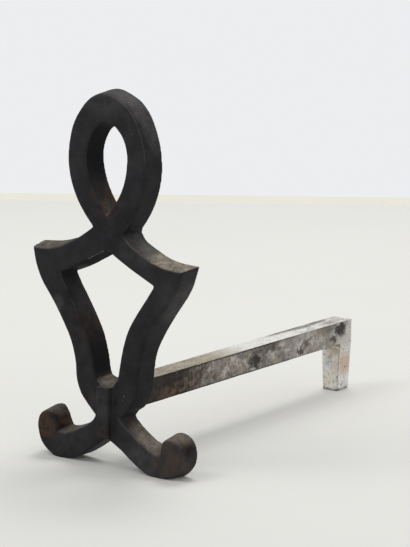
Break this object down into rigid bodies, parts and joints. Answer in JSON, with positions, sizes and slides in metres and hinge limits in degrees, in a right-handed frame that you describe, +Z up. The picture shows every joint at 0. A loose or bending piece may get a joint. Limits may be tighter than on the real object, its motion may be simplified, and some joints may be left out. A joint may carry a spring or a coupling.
{
  "type": "andiron",
  "caption": "Cast-iron andiron: a looped front figure with pointed shoulders and curled toes, a square log bar and a short tapered rear leg.",
  "frame": {"origin": "on the hearth, under the middle of the overall box", "axes": "+Z up, -Y towards the front face of the figure (the room side), +Y along the log bar towards the fireback, +X to the right seen from the room"},
  "size_m": [0.2092, 0.479, 0.4029],
  "materials": {
    "cast_iron": "sand-cast, heat-darkened, rubbed matt black",
    "ashy_iron": "forged bar, rusted and whitened by ash",
    "weld": "rusted weld bead"
  },
  "bodies": {
    "root": {"front_figure": "cast_iron", "log_bar": "ashy_iron", "rear_leg": "ashy_iron", "leg_weld": "weld"}
  },
  "joints": []
}
